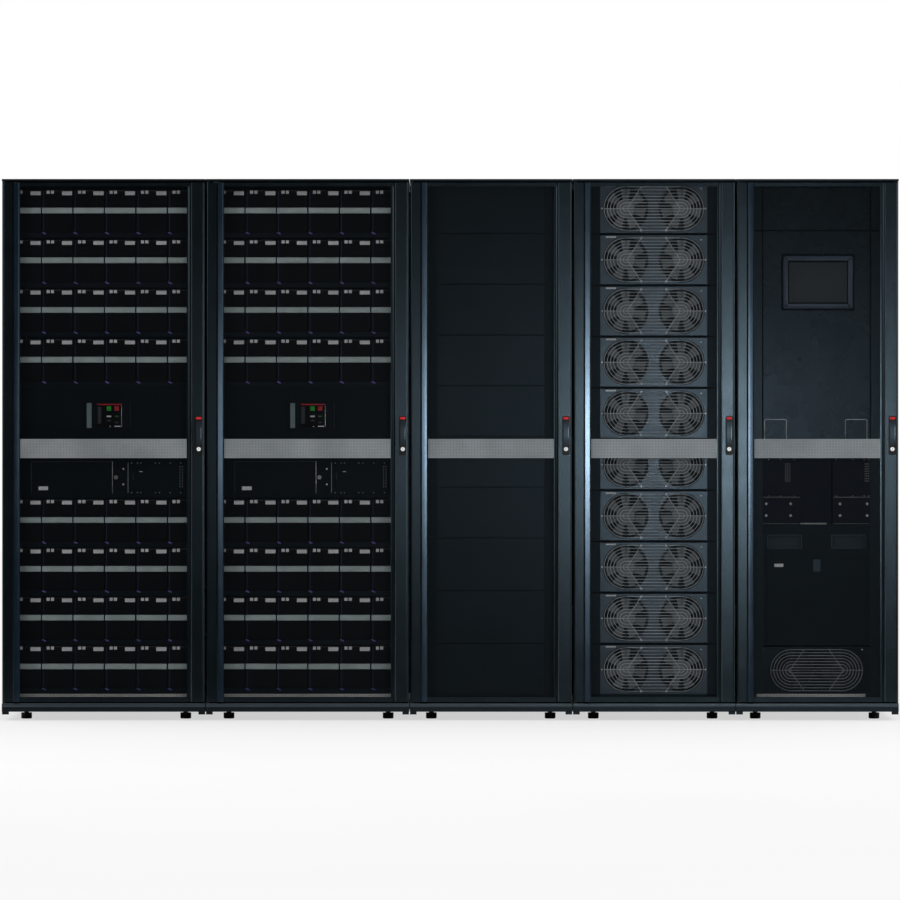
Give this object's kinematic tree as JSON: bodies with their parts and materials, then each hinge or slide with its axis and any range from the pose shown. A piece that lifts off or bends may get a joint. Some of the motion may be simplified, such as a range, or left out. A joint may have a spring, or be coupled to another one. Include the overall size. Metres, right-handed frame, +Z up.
{
  "type": "modular ups cabinet",
  "caption": "Row of bayed data centre cabinets with hinged perforated doors over battery packs, fan-cooled power modules and a control section.",
  "frame": {"origin": "floor level, in the middle of the row's width and depth", "axes": "+X to the right seen from the front, +Y to the back, +Z up"},
  "size_m": [3.3, 1.086, 1.991],
  "materials": {
    "frame_coat": "fine textured powder coat, near black blue-grey",
    "door_coat": "satin powder coat, dark blue-grey",
    "screen_mesh": "fine perforated sheet, dark coat",
    "lock_plastic": "moulded black plastic",
    "lever_metal": "cast lever with satin black coat",
    "inner_steel": "plain coated sheet inside the cabinets",
    "battery_case": "grained black battery case",
    "grip_plastic": "mid grey moulded pull grip",
    "switch_coat": "textured dark coat with grey details",
    "blank_coat": "textured dark blue-grey coat",
    "module_coat": "textured grey coat",
    "guard_wire": "dipped black wire",
    "fan_plastic": "moulded black fan wheel",
    "foot_steel": "turned steel foot"
  },
  "bodies": {
    "root": {"base_frames": "frame_coat", "roof_panels": "frame_coat", "levelling_feet": "foot_steel", "corner_posts": "inner_steel", "baying_blocks": "inner_steel", "side_panels": "frame_coat", "rear_panels": "frame_coat", "mounting_rails": "inner_steel", "battery_shelves": "inner_steel", "battery_modules": "battery_case", "module_grips": "grip_plastic", "battery_switch_panels": "switch_coat", "blank_panels": "blank_coat", "fan_modules": "module_coat", "fan_guards": "guard_wire", "control_panels": "blank_coat", "switchgear": "switch_coat", "static_switch_module": "module_coat"},
    "door_1": {"door_1_frame": "door_coat", "door_1_screens": "screen_mesh", "door_1_lock_plate": "lock_plastic"},
    "door_1_handle": {"door_1_lever": "lever_metal"},
    "door_2": {"door_2_frame": "door_coat", "door_2_screens": "screen_mesh", "door_2_lock_plate": "lock_plastic"},
    "door_2_handle": {"door_2_lever": "lever_metal"},
    "door_3": {"door_3_frame": "door_coat", "door_3_screens": "screen_mesh", "door_3_lock_plate": "lock_plastic"},
    "door_3_handle": {"door_3_lever": "lever_metal"},
    "door_4": {"door_4_frame": "door_coat", "door_4_screens": "screen_mesh", "door_4_lock_plate": "lock_plastic"},
    "door_4_handle": {"door_4_lever": "lever_metal"},
    "door_5": {"door_5_frame": "door_coat", "door_5_screens": "screen_mesh", "door_5_lock_plate": "lock_plastic"},
    "door_5_handle": {"door_5_lever": "lever_metal"},
    "fan_01_left": {"fan_01_left": "fan_plastic"},
    "fan_01_right": {"fan_01_right": "fan_plastic"},
    "fan_02_left": {"fan_02_left": "fan_plastic"},
    "fan_02_right": {"fan_02_right": "fan_plastic"},
    "fan_03_left": {"fan_03_left": "fan_plastic"},
    "fan_03_right": {"fan_03_right": "fan_plastic"},
    "fan_04_left": {"fan_04_left": "fan_plastic"},
    "fan_04_right": {"fan_04_right": "fan_plastic"},
    "fan_05_left": {"fan_05_left": "fan_plastic"},
    "fan_05_right": {"fan_05_right": "fan_plastic"},
    "fan_06_left": {"fan_06_left": "fan_plastic"},
    "fan_06_right": {"fan_06_right": "fan_plastic"},
    "fan_07_left": {"fan_07_left": "fan_plastic"},
    "fan_07_right": {"fan_07_right": "fan_plastic"},
    "fan_08_left": {"fan_08_left": "fan_plastic"},
    "fan_08_right": {"fan_08_right": "fan_plastic"},
    "fan_09_left": {"fan_09_left": "fan_plastic"},
    "fan_09_right": {"fan_09_right": "fan_plastic"},
    "fan_10_left": {"fan_10_left": "fan_plastic"},
    "fan_10_right": {"fan_10_right": "fan_plastic"},
    "fan_11_left": {"fan_11_left": "fan_plastic"},
    "fan_11_right": {"fan_11_right": "fan_plastic"}
  },
  "joints": [
    {"name": "door_1_hinge", "type": "hinge", "parent": "root", "child": "door_1", "pos_m": [-1.64, -0.52, 1.023], "axis": [0, 0, -1], "range_deg": [0, 110]},
    {"name": "door_1_handle_lift", "type": "hinge", "parent": "door_1", "child": "door_1_handle", "pos_m": [-0.9246, -0.539, 1.095], "axis": [-1, 0, 0], "range_deg": [0, 35]},
    {"name": "door_2_hinge", "type": "hinge", "parent": "root", "child": "door_2", "pos_m": [-0.89, -0.52, 1.023], "axis": [0, 0, -1], "range_deg": [0, 110]},
    {"name": "door_2_handle_lift", "type": "hinge", "parent": "door_2", "child": "door_2_handle", "pos_m": [-0.1746, -0.539, 1.095], "axis": [-1, 0, 0], "range_deg": [0, 35]},
    {"name": "door_3_hinge", "type": "hinge", "parent": "root", "child": "door_3", "pos_m": [-0.14, -0.52, 1.023], "axis": [0, 0, -1], "range_deg": [0, 110]},
    {"name": "door_3_handle_lift", "type": "hinge", "parent": "door_3", "child": "door_3_handle", "pos_m": [0.4254, -0.539, 1.095], "axis": [-1, 0, 0], "range_deg": [0, 35]},
    {"name": "door_4_hinge", "type": "hinge", "parent": "root", "child": "door_4", "pos_m": [0.46, -0.52, 1.023], "axis": [0, 0, -1], "range_deg": [0, 110]},
    {"name": "door_4_handle_lift", "type": "hinge", "parent": "door_4", "child": "door_4_handle", "pos_m": [1.0254, -0.539, 1.095], "axis": [-1, 0, 0], "range_deg": [0, 35]},
    {"name": "door_5_hinge", "type": "hinge", "parent": "root", "child": "door_5", "pos_m": [1.06, -0.52, 1.023], "axis": [0, 0, -1], "range_deg": [0, 110]},
    {"name": "door_5_handle_lift", "type": "hinge", "parent": "door_5", "child": "door_5_handle", "pos_m": [1.6254, -0.539, 1.095], "axis": [-1, 0, 0], "range_deg": [0, 35]},
    {"name": "fan_01_left_spin", "type": "hinge", "parent": "root", "child": "fan_01_left", "pos_m": [0.64699, -0.44, 1.88451], "axis": [0, -1, 0], "continuous": true},
    {"name": "fan_01_right_spin", "type": "hinge", "parent": "root", "child": "fan_01_right", "pos_m": [0.85301, -0.44, 1.88451], "axis": [0, -1, 0], "continuous": true},
    {"name": "fan_02_left_spin", "type": "hinge", "parent": "root", "child": "fan_02_left", "pos_m": [0.64699, -0.44, 1.69573], "axis": [0, -1, 0], "continuous": true},
    {"name": "fan_02_right_spin", "type": "hinge", "parent": "root", "child": "fan_02_right", "pos_m": [0.85301, -0.44, 1.69573], "axis": [0, -1, 0], "continuous": true},
    {"name": "fan_03_left_spin", "type": "hinge", "parent": "root", "child": "fan_03_left", "pos_m": [0.64699, -0.44, 1.50695], "axis": [0, -1, 0], "continuous": true},
    {"name": "fan_03_right_spin", "type": "hinge", "parent": "root", "child": "fan_03_right", "pos_m": [0.85301, -0.44, 1.50695], "axis": [0, -1, 0], "continuous": true},
    {"name": "fan_04_left_spin", "type": "hinge", "parent": "root", "child": "fan_04_left", "pos_m": [0.64699, -0.44, 1.31817], "axis": [0, -1, 0], "continuous": true},
    {"name": "fan_04_right_spin", "type": "hinge", "parent": "root", "child": "fan_04_right", "pos_m": [0.85301, -0.44, 1.31817], "axis": [0, -1, 0], "continuous": true},
    {"name": "fan_05_left_spin", "type": "hinge", "parent": "root", "child": "fan_05_left", "pos_m": [0.64699, -0.44, 1.12939], "axis": [0, -1, 0], "continuous": true},
    {"name": "fan_05_right_spin", "type": "hinge", "parent": "root", "child": "fan_05_right", "pos_m": [0.85301, -0.44, 1.12939], "axis": [0, -1, 0], "continuous": true},
    {"name": "fan_06_left_spin", "type": "hinge", "parent": "root", "child": "fan_06_left", "pos_m": [0.64699, -0.44, 0.94061], "axis": [0, -1, 0], "continuous": true},
    {"name": "fan_06_right_spin", "type": "hinge", "parent": "root", "child": "fan_06_right", "pos_m": [0.85301, -0.44, 0.94061], "axis": [0, -1, 0], "continuous": true},
    {"name": "fan_07_left_spin", "type": "hinge", "parent": "root", "child": "fan_07_left", "pos_m": [0.64699, -0.44, 0.75183], "axis": [0, -1, 0], "continuous": true},
    {"name": "fan_07_right_spin", "type": "hinge", "parent": "root", "child": "fan_07_right", "pos_m": [0.85301, -0.44, 0.75183], "axis": [0, -1, 0], "continuous": true},
    {"name": "fan_08_left_spin", "type": "hinge", "parent": "root", "child": "fan_08_left", "pos_m": [0.64699, -0.44, 0.56305], "axis": [0, -1, 0], "continuous": true},
    {"name": "fan_08_right_spin", "type": "hinge", "parent": "root", "child": "fan_08_right", "pos_m": [0.85301, -0.44, 0.56305], "axis": [0, -1, 0], "continuous": true},
    {"name": "fan_09_left_spin", "type": "hinge", "parent": "root", "child": "fan_09_left", "pos_m": [0.64699, -0.44, 0.37427], "axis": [0, -1, 0], "continuous": true},
    {"name": "fan_09_right_spin", "type": "hinge", "parent": "root", "child": "fan_09_right", "pos_m": [0.85301, -0.44, 0.37427], "axis": [0, -1, 0], "continuous": true},
    {"name": "fan_10_left_spin", "type": "hinge", "parent": "root", "child": "fan_10_left", "pos_m": [0.64699, -0.44, 0.18549], "axis": [0, -1, 0], "continuous": true},
    {"name": "fan_10_right_spin", "type": "hinge", "parent": "root", "child": "fan_10_right", "pos_m": [0.85301, -0.44, 0.18549], "axis": [0, -1, 0], "continuous": true},
    {"name": "fan_11_left_spin", "type": "hinge", "parent": "root", "child": "fan_11_left", "pos_m": [1.257, -0.44, 0.183], "axis": [0, -1, 0], "continuous": true},
    {"name": "fan_11_right_spin", "type": "hinge", "parent": "root", "child": "fan_11_right", "pos_m": [1.443, -0.44, 0.183], "axis": [0, -1, 0], "continuous": true}
  ]
}
